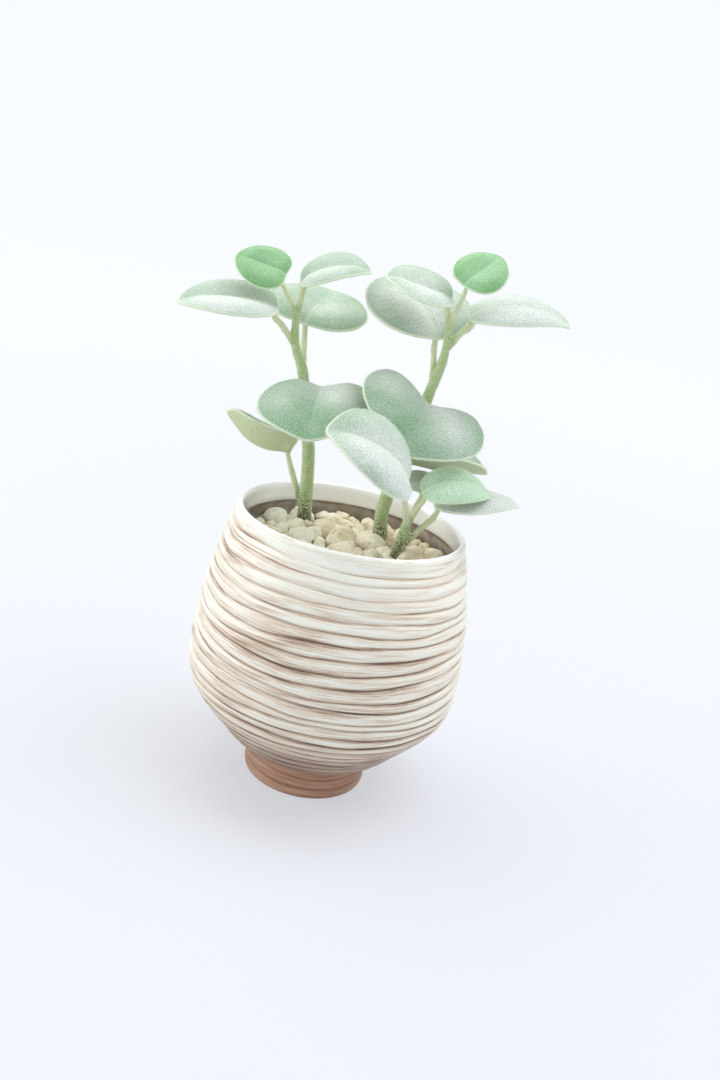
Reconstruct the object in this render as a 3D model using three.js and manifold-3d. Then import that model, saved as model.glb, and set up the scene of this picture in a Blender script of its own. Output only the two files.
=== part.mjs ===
// A felt-leaved peperomia in a ribbed, footed ceramic pot, with a dressing of pumice pebbles.
// Millimetres, +Z up. The origin is the centre of the foot's underside, and -Y is the front.
import * as THREE from "three";
import { mergeVertices } from "three/addons/utils/BufferGeometryUtils.js";
import Module from "manifold-3d";

const wasm = await Module();
wasm.setup();

// ---------------------------------------------------------------- driving dimensions
const POT_HEIGHT = 122.6;
const POT_SIDES = 40;
const FOOT = { radius: 27.6, height: 14, ridges: 3, ridgeDepth: 0.7, edge: 1 };
const BODY = [
  // radius, height: the points that the outer wall's curve passes through
  [28.5, 15],
  [37, 19],
  [44.5, 27],
  [58, 44],
  [60, 62],
  [57.5, 87],
  [53, 108],
  [50, 117.5],
];
const RIDGE = { depth: 0.8, lowPitch: 4, highPitch: 5, from: 21, changesAt: 58, top: 116 };
const NECK = 17.5; // where the foot opens into the body
const RING_WAVE = { rise: 1.6, from: 50, to: 104 }; // how far the thrown rings wander up and down
const LIP = { outer: 49, inner: 46.2, drop: 9 };
const WALL = 4;
const WELL = [
  // radius, height: the inside of the foot, below the wall
  [23, 6],
  [24, 16],
  [33.5, 20.5],
];
const WELL_TO_LEDGE = [27, 44, 62, 78, 92, 104]; // heights at which the inside follows the wall
const GAP = 0.3; // between pieces that touch
const MIX_TOP = 101;
const BED = { bottom: MIX_TOP + GAP, top: 106, radius: 47 };
const PEBBLES = { seed: 41, reach: 45.5, level: 106.8, crowding: 0.82, tilt: 0.4, throws: 4000 };
const PEBBLE_SIZES = [
  // how many, mean radius
  [14, 5.8],
  [28, 4.6],
  [50, 3.4],
];
const STEM_SIDES = 8;
const STALK_SIDES = 6;
const STALK = { radius: 1.2, youngRadius: 0.95, root: 1.5, underSeat: 2.2 };
const BLADE = { thickness: 1.4, rings: [0.38, 0.7, 0.94], sides: 20 };
const OUTLINE = { tip: 0.06, tipWidth: 0.35, notchWidth: 0.45, egg: 0.08 }; // widths in radians
const FOLD = 0.004; // how softly the two halves meet at the midrib

// Each stem's centre line from inside the mix to its tip, with its radius at each point.
const STEMS = {
  left: [
    [-20.5, 23, 92, 3.2],
    [-21.5, 23, 110, 3.2],
    [-25, 21, 142, 2.7],
    [-32.5, 19, 173.5, 2.3],
    [-38.3, 18, 187, 1.9],
    [-40, 17, 200.5, 1.5],
  ],
  middle: [
    [12.5, 13.5, 92, 3.2],
    [13, 13, 110, 3.2],
    [12.5, 12, 131, 2.9],
    [21, 9, 179.5, 2.3],
    [23.5, 8, 194, 1.9],
    [23, 7, 209.5, 1.3],
  ],
  right: [
    [20, -3, 94, 2.6],
    [21, -4, 110, 2.6],
    [22, -5, 120, 2.3],
    [23, -6, 129.5, 1.9],
  ],
};

// Each leaf: the stem that bears it, the height at which its stalk leaves that stem, the seat
// of the blade on the stalk, the way the blade points (turn about Z, lift above level, roll
// about its own length), its length and width, how far each half rises from the midrib and
// droops again at the margin, the arch along its length, and its outline.
const LEAVES = [
  {
    name: "leaf_left_top", stem: "left", from: 199.5, seat: [-46, 12, 215], young: true,
    turn: 175, lift: 8, roll: -45, length: 24, width: 22,
    rise: 0.12, droop: 0.12, arch: 0, notch: 0.1,
  },
  {
    name: "leaf_left_inner", stem: "left", from: 199.5, seat: [-41, 18, 212],
    turn: 0, lift: 22, roll: 17, length: 31, width: 33,
    rise: 0.38, droop: 0.28, arch: 0.25, notch: 0.05,
  },
  {
    name: "leaf_left_outer", stem: "left", from: 188, seat: [-47, 12, 201],
    turn: 188, lift: -5, roll: -18, length: 42, width: 34,
    rise: 0.35, droop: 0.28, arch: 0.14, notch: 0.05,
  },
  {
    name: "leaf_left_back", stem: "left", from: 174, seat: [-37, 28, 195],
    turn: 78, lift: 20, roll: 5, length: 42, width: 46,
    rise: 0.15, droop: 0.15, arch: 0.1, notch: 0.08,
  },
  {
    name: "leaf_left_front", stem: "left", from: 150, seat: [-23.5, 8, 173.7],
    turn: 269, lift: -25, roll: 8, length: 42, width: 49,
    rise: 0.25, droop: 0.3, arch: 0.15, notch: 0.16, egg: -0.04,
  },
  {
    name: "leaf_left_low", stem: "left", from: 119, seat: [-33, 25, 140.5],
    turn: 175, lift: 12, roll: 12, length: 35, width: 18,
    rise: 1.5, droop: 0.3, arch: -0.42, notch: 0.12,
  },
  {
    name: "leaf_middle_front", stem: "middle", from: 163, seat: [21.4, -2, 177.5],
    turn: 255, lift: -32, roll: -22, length: 41, width: 55,
    rise: 0.25, droop: 0.3, arch: 0.15, notch: 0.3, egg: 0.16,
  },
  {
    name: "leaf_middle_low", stem: "middle", from: 136, seat: [17, 20, 147],
    turn: 8, lift: 0, roll: 0, length: 38, width: 30,
    rise: 0.9, droop: 0.2, arch: -0.1, notch: 0.05,
  },
  {
    name: "leaf_middle_back", stem: "middle", from: 183, seat: [20, 12, 201.5],
    turn: 125, lift: 27, roll: -9, length: 45, width: 50,
    rise: 0.35, droop: 0.32, arch: 0.12, notch: 0.06,
  },
  {
    name: "leaf_middle_inner", stem: "middle", from: 208, seat: [22, 6, 219],
    turn: 188, lift: 8, roll: -20, length: 29, width: 32,
    rise: 0.5, droop: 0.17, arch: 0, notch: 0.05,
  },
  {
    name: "leaf_middle_round", stem: "middle", from: 208, seat: [24.5, -2, 225.5], young: true,
    turn: 42, lift: 36, roll: 26, length: 22.5, width: 22,
    rise: 0.1, droop: 0.1, arch: 0, notch: 0.05,
  },
  {
    name: "leaf_middle_outer", stem: "middle", from: 199, seat: [29.5, 10, 213],
    turn: 0, lift: 8, roll: 13, length: 43, width: 34,
    rise: 0.35, droop: 0.42, arch: 0.27, notch: 0.05,
  },
  {
    name: "leaf_right_front", stem: "right", from: 127, seat: [19, -33, 151.5],
    turn: 205, lift: 26, roll: -36, length: 42.5, width: 38,
    rise: 0.4, droop: 0.4, arch: 0.28, notch: 0.05,
  },
  {
    name: "leaf_right_small", stem: "right", from: 128, seat: [25, -16, 143.5], young: true,
    turn: 15, lift: 8, roll: 18, length: 30.5, width: 25,
    rise: 0.4, droop: 0.45, arch: 0.38, notch: 0.05,
  },
  {
    name: "leaf_right_outer", stem: "right", from: 116, seat: [32, -8, 137],
    turn: 8, lift: 11, roll: 0, length: 36, width: 30,
    rise: 0.35, droop: 0.4, arch: 0.15, notch: 0.05,
  },
  {
    name: "leaf_right_back", stem: "right", from: 127, seat: [27, 5, 138],
    turn: 84, lift: 12, roll: 0, length: 22, width: 21,
    rise: 0.25, droop: 0.25, arch: 0.1, notch: 0.05,
  },
];

// ---------------------------------------------------------------- finishes
const finish = (color, roughness) =>
  new THREE.MeshStandardMaterial({ color, roughness, metalness: 0 });
const GLAZE = finish(0xe9e1d6, 0.35);
const SOIL = finish(0x4a3a2c, 0.95);
const PUMICE = finish(0xd9cdae, 0.95);
const STEM = finish(0x8fa873, 0.8);
const FELT = finish(0xb7c9b8, 0.9);
const YOUNG_FELT = finish(0x93c98c, 0.85);

// ---------------------------------------------------------------- joining and cutting
// The same surface with shared corners merged and triangles of no area left out.
function welded(geometry) {
  const bare = new THREE.BufferGeometry();
  bare.setAttribute("position", geometry.getAttribute("position"));
  bare.setIndex(geometry.index);
  const merged = mergeVertices(bare, 1e-3);
  const corners = Array.from(merged.index.array);
  const kept = [];
  for (let i = 0; i < corners.length; i += 3) {
    const [a, b, c] = corners.slice(i, i + 3);
    if (a !== b && b !== c && c !== a) kept.push(a, b, c);
  }
  merged.setIndex(kept);
  return merged;
}

function solid(geometry) {
  const { attributes, index } = welded(geometry);
  return new wasm.Manifold(
    new wasm.Mesh({
      numProp: 3,
      vertProperties: new Float32Array(attributes.position.array),
      triVerts: new Uint32Array(index.array),
    }),
  );
}

const union = (solids) => solids.reduce((whole, next) => whole.add(next));

// The largest body of a solid: a chip that a cut leaves loose is dropped.
function largest(made) {
  return made.decompose().reduce((a, b) => (b.volume() > a.volume() ? b : a));
}

function geometryOf(made) {
  const mesh = made.getMesh();
  const geometry = new THREE.BufferGeometry();
  geometry.setAttribute("position", new THREE.BufferAttribute(mesh.vertProperties, 3));
  geometry.setIndex(new THREE.BufferAttribute(mesh.triVerts, 1));
  geometry.computeVertexNormals();
  return geometry;
}

// A grid of points, closed round its rows, with both ends closed by a point.
function skin(firstPoint, rows, lastPoint) {
  const sides = rows[0].length;
  const points = [firstPoint, ...rows.flat(), lastPoint];
  const last = points.length - 1;
  const at = (row, side) => 1 + row * sides + (side % sides);
  const index = [];
  for (let side = 0; side < sides; side++) {
    index.push(0, at(0, side + 1), at(0, side));
    index.push(last, at(rows.length - 1, side), at(rows.length - 1, side + 1));
    for (let row = 0; row + 1 < rows.length; row++) {
      index.push(at(row, side), at(row, side + 1), at(row + 1, side + 1));
      index.push(at(row, side), at(row + 1, side + 1), at(row + 1, side));
    }
  }
  const geometry = new THREE.BufferGeometry().setFromPoints(points);
  geometry.setIndex(index);
  return geometry;
}

// ---------------------------------------------------------------- pot
const wallCurve = new THREE.SplineCurve(BODY.map(([r, z]) => new THREE.Vector2(r, z)));

function wallRadius(height) {
  let low = 0;
  let high = 1;
  for (let step = 0; step < 24; step++) {
    const middle = (low + high) / 2;
    if (wallCurve.getPoint(middle).y < height) low = middle;
    else high = middle;
  }
  return wallCurve.getPoint(low).x;
}

// The heights of the grooves between the thrown ridges, closer together low on the wall.
function grooveHeights() {
  const heights = [];
  const { lowPitch, highPitch, from, changesAt, top } = RIDGE;
  for (let z = from; z < changesAt; z += lowPitch) heights.push(z);
  const next = heights.at(-1) + highPitch;
  for (let z = next; z < top; z += highPitch) heights.push(z);
  return heights;
}

// The inside of the pot up to the ledge below its lip, drawn in by an inset.
function cavity(inset = 0) {
  const well = WELL.map(([r, z]) => [r - inset, z + inset]);
  return [...well, ...WELL_TO_LEDGE.map((z) => [wallRadius(z) - WALL - inset, z])];
}

function potProfile() {
  const outline = [[0, 0], [FOOT.radius - FOOT.edge, 0]];
  const pitch = FOOT.height / FOOT.ridges;
  for (let ridge = 0; ridge < FOOT.ridges; ridge++) {
    outline.push([FOOT.radius, (ridge + 0.5) * pitch]);
    outline.push([FOOT.radius - FOOT.ridgeDepth, (ridge + 1) * pitch]);
  }
  outline.push([wallRadius(NECK), NECK]);
  const grooves = grooveHeights();
  grooves.forEach((z, i) => {
    const crest = (z + (grooves[i + 1] ?? RIDGE.top + 1.5)) / 2;
    outline.push([wallRadius(z) - RIDGE.depth, z]);
    outline.push([wallRadius(crest), crest]);
  });
  const rim = POT_HEIGHT;
  const ledge = rim - LIP.drop;
  outline.push([LIP.outer + 0.5, rim - 4]);
  outline.push([LIP.outer, rim - 1.6], [LIP.outer - 1, rim - 0.3], [LIP.inner + 0.6, rim]);
  outline.push([LIP.inner, rim - 1.2], [LIP.inner - 0.2, ledge + 0.6], [LIP.inner + 0.4, ledge]);
  const inside = cavity();
  return [...outline, ...inside.reverse(), [0, inside.at(-1)[1]]];
}

// How far a ring wanders up or down at an angle round the pot.
function ringWave(x, y, z) {
  if (z < RING_WAVE.from || z > RING_WAVE.to) return 0;
  const share = (z - RING_WAVE.from) / (RING_WAVE.to - RING_WAVE.from);
  const angle = Math.atan2(y, x);
  return RING_WAVE.rise * Math.sin(Math.PI * share) * Math.sin(2 * angle + 5 * share);
}

function pot() {
  const profile = potProfile().map(([r, z]) => new THREE.Vector2(r, z));
  const geometry = welded(new THREE.LatheGeometry(profile, POT_SIDES).rotateX(Math.PI / 2));
  const place = geometry.getAttribute("position");
  for (let i = 0; i < place.count; i++) {
    const [x, y, z] = [place.getX(i), place.getY(i), place.getZ(i)];
    const outside = Math.hypot(x, y) > wallRadius(Math.max(z, NECK)) - WALL / 2;
    if (outside) place.setZ(i, z + ringWave(x, y, z));
  }
  return new THREE.Mesh(geometry, GLAZE);
}

// ---------------------------------------------------------------- stems and leaf stalks
// A round, tapering limb along a curve through points of [x, y, z, radius].
function limb(stations, sides, steps, extra = 0) {
  const curve = new THREE.CatmullRomCurve3(stations.map(([x, y, z]) => new THREE.Vector3(x, y, z)));
  const frames = curve.computeFrenetFrames(steps, false);
  const rows = [];
  for (let step = 0; step <= steps; step++) {
    const t = step / steps;
    const centre = curve.getPoint(t);
    const place = t * (stations.length - 1);
    const before = Math.min(Math.floor(place), stations.length - 2);
    const radius =
      THREE.MathUtils.lerp(stations[before][3], stations[before + 1][3], place - before) + extra;
    const row = [];
    for (let side = 0; side < sides; side++) {
      const angle = (2 * Math.PI * side) / sides;
      const across = frames.normals[step].clone().multiplyScalar(radius * Math.cos(angle));
      const along = frames.binormals[step].clone().multiplyScalar(radius * Math.sin(angle));
      row.push(centre.clone().add(across).add(along));
    }
    rows.push(row);
  }
  return skin(curve.getPoint(0), rows, curve.getPoint(1));
}

function pointOnStem(stem, height) {
  const stations = STEMS[stem];
  const above = stations.findIndex(([, , z]) => z >= height);
  const [low, high] = [stations[above - 1], stations[above]];
  const share = (height - low[2]) / (high[2] - low[2]);
  return low.map((value, i) => THREE.MathUtils.lerp(value, high[i], share));
}

// A stem alone, or, with an extra radius, the hole that it stands in.
function stemLimb(stem, extra = 0) {
  const [[x, y, z, radius], ...above] = STEMS[stem];
  const stations = [[x, y, z - extra, radius], ...above];
  return solid(limb(stations, STEM_SIDES, stations.length * 2, extra));
}

// A leaf's stalk leaves its stem low and steep, and turns in under the blade's seat. At each of
// its two bends it has come further towards the seat sideways than it has risen.
const STALK_BENDS = [
  { sideways: 0.62, risen: 0.5, sag: 0 },
  { sideways: 0.9, risen: 0.8, sag: 1 },
];

function stalkStations(leaf) {
  const [x, y, z] = pointOnStem(leaf.stem, leaf.from);
  const [seatX, seatY, seatZ] = leaf.seat;
  const radius = leaf.young ? STALK.youngRadius : STALK.radius;
  const { lerp } = THREE.MathUtils;
  const bends = STALK_BENDS.map(({ sideways, risen, sag }) => [
    lerp(x, seatX, sideways),
    lerp(y, seatY, sideways),
    lerp(z, seatZ, risen) - sag,
    radius,
  ]);
  const under = bladeFrame(leaf).fromSeat(new THREE.Vector3(STALK.underSeat, 0, 0));
  return [[x, y, z - STALK.root, radius], ...bends, [...under, 0.9 * radius]];
}

function stemWithStalks(stem) {
  const leaves = LEAVES.filter((leaf) => leaf.stem === stem);
  const stalks = leaves.map((leaf) => solid(limb(stalkStations(leaf), STALK_SIDES, 6)));
  const whole = union([stemLimb(stem), ...stalks]);
  const clearance = leaves.map((leaf) => solid(blade(leaf, GAP)));
  return new THREE.Mesh(geometryOf(largest(whole.subtract(union(clearance)))), STEM);
}

// ---------------------------------------------------------------- leaf blades
// The blade's own frame: X from seat to tip, Y across it, Z out of its upper face.
function bladeFrame(leaf) {
  const { degToRad } = THREE.MathUtils;
  const turned = new THREE.Matrix4()
    .makeRotationZ(degToRad(leaf.turn))
    .multiply(new THREE.Matrix4().makeRotationY(-degToRad(leaf.lift)))
    .multiply(new THREE.Matrix4().makeRotationX(degToRad(leaf.roll)));
  const seat = new THREE.Vector3(...leaf.seat);
  const base = bladePoint(leaf, 1, Math.PI);
  const fromSeat = (point) => point.clone().applyMatrix4(turned).add(seat);
  return { fromSeat, place: (point) => fromSeat(point.clone().sub(base)) };
}

// A point of the blade's middle surface, from the middle (reach 0) to the margin (reach 1), at
// an angle from the tip. The outline is an egg with a drawn-out tip and a notch at the seat.
function bladePoint(leaf, reach, angle) {
  const halfLength = leaf.length / 2;
  const halfWidth = leaf.width / 2;
  const fromTip = Math.atan2(Math.sin(angle), Math.cos(angle));
  const fromSeat = Math.PI - Math.abs(fromTip);
  const drawnOut = 1 + OUTLINE.tip * Math.exp(-((fromTip / OUTLINE.tipWidth) ** 2));
  const notch = leaf.notch * leaf.length * Math.exp(-((fromSeat / OUTLINE.notchWidth) ** 2));
  const egg = 1 - (leaf.egg ?? OUTLINE.egg) * Math.cos(fromTip);
  const x = reach * (halfLength * Math.cos(fromTip) * drawnOut + notch);
  const y = reach * halfWidth * Math.sin(fromTip) * egg;
  const across = y / halfWidth;
  const along = x / halfLength;
  const fold = Math.sqrt(across ** 2 + FOLD) - Math.sqrt(FOLD);
  const sides = halfWidth * (leaf.rise * fold - leaf.droop * across ** 2);
  return new THREE.Vector3(x, y, sides - halfLength * leaf.arch * along ** 2);
}

// The direction out of the upper face, from the slopes of the surface.
function bladeNormal(leaf, reach, angle) {
  const halfLength = leaf.length / 2;
  const halfWidth = leaf.width / 2;
  const { x, y } = bladePoint(leaf, reach, angle);
  const across = y / halfWidth;
  const slopeY = (leaf.rise * across) / Math.sqrt(across ** 2 + FOLD) - 2 * leaf.droop * across;
  const slopeX = (-2 * leaf.arch * x) / halfLength;
  return new THREE.Vector3(-slopeX, -slopeY, 1).normalize();
}

// The blade as a closed skin: its lower and upper faces, which round off towards each other at the
// margin, where they meet in one ring of corners.
function blade(leaf, extra = 0) {
  const frame = bladeFrame(leaf);
  const { thickness, rings, sides } = BLADE;
  const at = (reach, side, offset) => {
    const angle = (2 * Math.PI * side) / sides;
    const normal = bladeNormal(leaf, reach, angle).multiplyScalar(offset);
    return frame.place(bladePoint(leaf, reach, angle).add(normal));
  };
  const widen = 1 + (2 * extra) / leaf.width;
  const half = thickness / 2 + extra;
  const ring = (reach, offset) =>
    Array.from({ length: sides }, (_, side) => at(reach * widen, side, offset));
  const upper = rings.map((reach) => ring(reach, half));
  const lower = rings.map((reach) => ring(reach, -half));
  return skin(at(0, 0, -half), [...lower, ring(1, 0), ...upper.reverse()], at(0, 0, half));
}

function leafBlade(leaf) {
  return new THREE.Mesh(geometryOf(solid(blade(leaf))), leaf.young ? YOUNG_FELT : FELT);
}

// ---------------------------------------------------------------- potting mix and pebbles
// The plain holes that the stems stand in.
const stemHoles = () => union(Object.keys(STEMS).map((stem) => stemLimb(stem, GAP)));

function pottingMix() {
  const side = cavity(2 * GAP).filter(([, z]) => z < MIX_TOP);
  const brim = wallRadius(MIX_TOP) - WALL - 2 * GAP;
  const profile = [[0, side[0][1]], ...side, [brim, MIX_TOP], [0, MIX_TOP]];
  const points = profile.map(([r, z]) => new THREE.Vector2(r, z));
  const body = solid(new THREE.LatheGeometry(points, POT_SIDES / 2).rotateX(Math.PI / 2));
  return new THREE.Mesh(geometryOf(largest(body.subtract(stemHoles()))), SOIL);
}

function randomFrom(seed) {
  let state = seed;
  return () => {
    state = (state * 16807) % 2147483647;
    return state / 2147483647;
  };
}

// Pebbles thrown one by one, the large ones first, each kept where it does not crowd the rest.
function pebblePlaces() {
  const random = randomFrom(PEBBLES.seed);
  const places = [];
  for (const [count, mean] of PEBBLE_SIZES) {
    for (let tries = 0, placed = 0; placed < count && tries < PEBBLES.throws; tries++) {
      const radius = mean * (0.88 + 0.24 * random());
      const reach = (PEBBLES.reach - radius) * Math.sqrt(random());
      const angle = 2 * Math.PI * random();
      const [x, y] = [reach * Math.cos(angle), reach * Math.sin(angle)];
      const room = (other) => PEBBLES.crowding * (radius + other.radius);
      if (places.some((other) => Math.hypot(x - other.x, y - other.y) < room(other))) continue;
      const spin = [random(), random(), random()].map((share) => 2 * Math.PI * share);
      const stretch = [1, 0.82 + 0.2 * random(), 0.72 + 0.2 * random()];
      places.push({ x, y, radius, spin, stretch, lift: 0.5 * radius * random() });
      placed += 1;
    }
  }
  return places;
}

function pebble({ x, y, radius, spin, stretch, lift }) {
  return new THREE.IcosahedronGeometry(radius, 0)
    .scale(...stretch)
    .rotateX(PEBBLES.tilt * Math.sin(spin[0]))
    .rotateY(PEBBLES.tilt * Math.sin(spin[1]))
    .rotateZ(spin[2])
    .translate(x, y, PEBBLES.level + lift);
}

function gravel() {
  const { bottom, top, radius } = BED;
  const bed = new THREE.CylinderGeometry(radius, radius, top - bottom, POT_SIDES / 2)
    .rotateX(Math.PI / 2)
    .translate(0, 0, (top + bottom) / 2);
  const stones = pebblePlaces().map((place) => solid(pebble(place)));
  const heap = union([solid(bed), ...stones]);
  return new THREE.Mesh(geometryOf(largest(heap.subtract(stemHoles()))), PUMICE);
}

// ---------------------------------------------------------------- the assembled plant
const plant = new THREE.Group();

function place(name, mesh) {
  mesh.name = name;
  plant.add(mesh);
}

place("pot", pot());
place("potting_mix", pottingMix());
place("gravel", gravel());
for (const stem of Object.keys(STEMS)) place(`stem_${stem}`, stemWithStalks(stem));
for (const leaf of LEAVES) place(leaf.name, leafBlade(leaf));

export default plant;
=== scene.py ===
# %% [markdown]
# # A felt-leaved peperomia in a ribbed pot
#
# The plant is about 240 mm high: three stems, sixteen fleshy leaves covered in short pale felt,
# a dressing of pumice pebbles, and a thrown, ribbed pot on a narrow foot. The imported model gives
# every size. Here each of its plain solids is replaced by a finer piece of the same form, made
# with bmesh operators, and each finish is a procedural material.
#
# Lengths are written in millimetres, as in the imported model's source, and MM turns them to metres.

import math
from bisect import bisect
from functools import lru_cache

import bmesh
import bpy
from mathutils import Matrix, Vector, noise


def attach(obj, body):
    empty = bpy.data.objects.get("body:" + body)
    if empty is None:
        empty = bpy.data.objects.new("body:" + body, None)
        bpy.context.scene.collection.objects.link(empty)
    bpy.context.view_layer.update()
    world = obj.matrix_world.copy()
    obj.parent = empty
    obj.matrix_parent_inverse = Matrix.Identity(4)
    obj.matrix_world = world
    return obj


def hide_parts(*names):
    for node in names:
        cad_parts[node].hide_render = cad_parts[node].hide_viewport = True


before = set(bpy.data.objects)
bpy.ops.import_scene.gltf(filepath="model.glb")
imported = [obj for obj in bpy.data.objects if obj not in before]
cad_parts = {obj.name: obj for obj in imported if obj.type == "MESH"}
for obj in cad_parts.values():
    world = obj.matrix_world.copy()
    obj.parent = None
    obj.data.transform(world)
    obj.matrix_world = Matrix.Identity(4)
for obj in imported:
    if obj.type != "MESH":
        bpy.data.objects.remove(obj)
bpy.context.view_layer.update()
MM = 0.001
print("frame nodes:", len(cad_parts))

# %% [markdown]
# ## Small helpers
#
# One function fills or links the inputs of any node, and turns a colour as it is read on a screen
# (sRGB, written as hex) into the linear numbers that a shader wants. One adds a node with its
# settings and inputs. One spins a profile, as a lathe does. One hands a finished piece over: it
# rides on the root body, and the imported nodes that it stands for are hidden.

# %% Helpers


def linear(colour):
    """An sRGB hex colour as linear red, green, blue and alpha."""
    shares = [int(colour[i : i + 2], 16) / 255 for i in (1, 3, 5)]
    return [s / 12.92 if s <= 0.04045 else ((s + 0.055) / 1.055) ** 2.4 for s in shares] + [1]


def fill(node, inputs):
    """Fills or links a node's inputs, by name or as a row in the node's own order.

    A hex colour becomes a linear one.
    """
    for name, value in inputs.items() if isinstance(inputs, dict) else enumerate(inputs):
        if isinstance(value, bpy.types.NodeSocket):
            node.id_data.links.new(value, node.inputs[name])
        else:
            node.inputs[name].default_value = linear(value) if isinstance(value, str) else value


def add(material, kind, inputs=(), out=None, stops=(), **settings):
    """Adds a node with its settings, inputs and, for a colour ramp, its stops.

    Returns the named output, or else the first one.
    """
    node = material.node_tree.nodes.new("ShaderNode" + kind)
    for name, value in settings.items():
        setattr(node, name, value)
    fill(node, inputs)
    for number, (position, colour) in enumerate(stops):
        ramp = node.color_ramp.elements
        stop = ramp[number] if number < 2 else ramp.new(position)
        stop.position, stop.color = position, linear(colour)
    return node.outputs[out] if out else next(end for end in node.outputs if end.enabled)


def new_finish(name):
    """A material, its Principled shader and the Object coordinates, in metres."""
    material = bpy.data.materials.new(name)
    material.use_nodes = True
    shader = material.node_tree.nodes["Principled BSDF"]
    return material, shader, add(material, "TexCoord", out="Object")


def in_scene(name, data):
    """Puts a mesh, curve, lamp or camera into the scene as an object."""
    made = bpy.data.objects.new(name, data)
    bpy.context.scene.collection.objects.link(made)
    return made


def mesh_piece(name, made, *materials):
    """Turns a bmesh into a smooth object in the scene."""
    mesh = bpy.data.meshes.new(name)
    made.to_mesh(mesh)
    made.free()
    for material in materials:
        mesh.materials.append(material)
    mesh.shade_smooth()
    return in_scene(name, mesh)


def lathe(profile, steps, weld):
    """Spins a profile of (radius, height) once round the upright axis, all in metres."""
    spun = bmesh.new()
    chain = [spun.verts.new((radius, 0, height)) for radius, height in profile]
    chain += [spun.edges.new(pair) for pair in zip(chain, chain[1:])]
    once = {"cent": (0, 0, 0), "axis": (0, 0, 1), "angle": math.tau}
    bmesh.ops.spin(spun, geom=chain, steps=steps, use_merge=True, **once)
    bmesh.ops.remove_doubles(spun, verts=spun.verts, dist=weld)
    bmesh.ops.recalc_face_normals(spun, faces=spun.faces)
    return spun


def hand_over(piece, finish_slot, *nodes):
    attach(piece, "root")
    if nodes:
        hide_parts(*nodes)


def random_from(seed):
    """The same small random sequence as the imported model's source uses."""
    state = seed
    while True:
        state = (state * 16807) % 2147483647
        yield state / 2147483647


def mix(low, high, share):
    return low + (high - low) * share


def smooth_step(low, high, value):
    """0 at low, 1 at high, and a soft slope between. High may be the smaller of the two."""
    share = min(max((value - low) / (high - low), 0), 1)
    return share * share * (3 - 2 * share)


print("a colour in linear numbers:", [round(share, 3) for share in linear("#808080")])

# %% [markdown]
# ## Camera and studio
#
# The photo looks down about 18 degrees at a pot that leans 11.6 degrees in the picture, with a
# lens of 33 mm on a 36 mm frame. The camera is the one that gives the photo's ellipses: it rolls
# instead of the pot, so the pot stands upright on its foot.

# %% Camera
CAMERA_PLACE = Vector((0, -406.24, 248.07)) * MM
CAMERA_RIGHT = Vector((0.98024, 0.05176, 0.19093))
CAMERA_UP = Vector((-0.19750, 0.31122, 0.92959))
CAMERA_BACK = CAMERA_RIGHT.cross(CAMERA_UP)
LENS = 33.333

camera_data = bpy.data.cameras.new("camera")
camera_data.lens = LENS
camera_data.sensor_width = 36
camera_data.clip_start = 0.01
camera = in_scene("camera", camera_data)
turn = Matrix((CAMERA_RIGHT, CAMERA_UP, CAMERA_BACK)).transposed()
camera.matrix_world = Matrix.Translation(CAMERA_PLACE) @ turn.to_4x4()
bpy.context.scene.camera = camera
print("camera at", [round(v / MM) for v in CAMERA_PLACE], "mm")

# %% [markdown]
# The photo's background is a plain pale wall with a blue tinge, brightest at the top. A bowl of
# opal acrylic gives that from every side: flat under the pot, and curving up far behind it, so no
# horizon shows. It is a profile spun round, and only a stage. Like a light table it glows by
# itself, but less so near the pot, where the lamps light it and the pot's soft shadow shows. The
# main lamp stands high behind the plant on the left: the faces that the photo shows are in its
# shade, and the tops of the leaves are whitish. Two weaker ones fill in from the left and above.

# %% Stage
STAGE_PROFILE = [(0, 0), (1.6, 0), (2.2, 0.1), (2.7, 0.45), (2.9, 1.0), (2.9, 2.2)]  # metres
GLOW_GROWS = (0.05, 1.3)  # metres from the pot: from its least to its full

backdrop, shader, place = new_finish("lit_opal_acrylic")
far = add(backdrop, "VectorMath", (place,), out="Value", operation="LENGTH")
far = add(backdrop, "MapRange", (far, *GLOW_GROWS), interpolation_type="SMOOTHSTEP")
opal = add(backdrop, "Mix", {"Factor": far, "A": "#8B8D91", "B": "#3C3E41"}, data_type="RGBA")
glow = add(backdrop, "MapRange", (far, 0.0, 1.0, 0.53, 0.98))
fill(shader, {"Base Color": opal, "Roughness": 0.9, "Specular IOR Level": 0.1})
fill(shader, {"Emission Color": "#F5F8FD", "Emission Strength": glow})

bowl = lathe(STAGE_PROFILE, steps=96, weld=1e-5)
bmesh.ops.reverse_faces(bowl, faces=bowl.faces)
stage = mesh_piece("backdrop", bowl, backdrop)
smoother = stage.modifiers.new("smoother", "SUBSURF")
smoother.levels = smoother.render_levels = 2
print("stage:", STAGE_PROFILE[-1][0], "m in radius")

# %% Light
PLANT_MIDDLE = Vector((0, 0, 0.12))
PANELS = {  # place and diameter in metres, watts and colour
    "key_behind_left": ((-0.45, 0.4, 1.35), 1.3, 10, "#FFFDF9"),
    "window_left": ((-1.4, -0.1, 0.5), 1.0, 9, "#FFFDFA"),
    "top_right": ((0.6, 0.1, 1.4), 1.2, 14, "#FCFCFF"),
}
for name, (place, size, watts, colour) in PANELS.items():
    light = bpy.data.lights.new(name, "AREA")
    light.shape = "DISK"
    light.size = size
    light.energy = watts
    light.color = linear(colour)[:3]
    lamp = in_scene(name, light)
    lamp.location = place
    lamp.rotation_euler = (PLANT_MIDDLE - Vector(place)).to_track_quat("-Z", "Y").to_euler()

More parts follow.
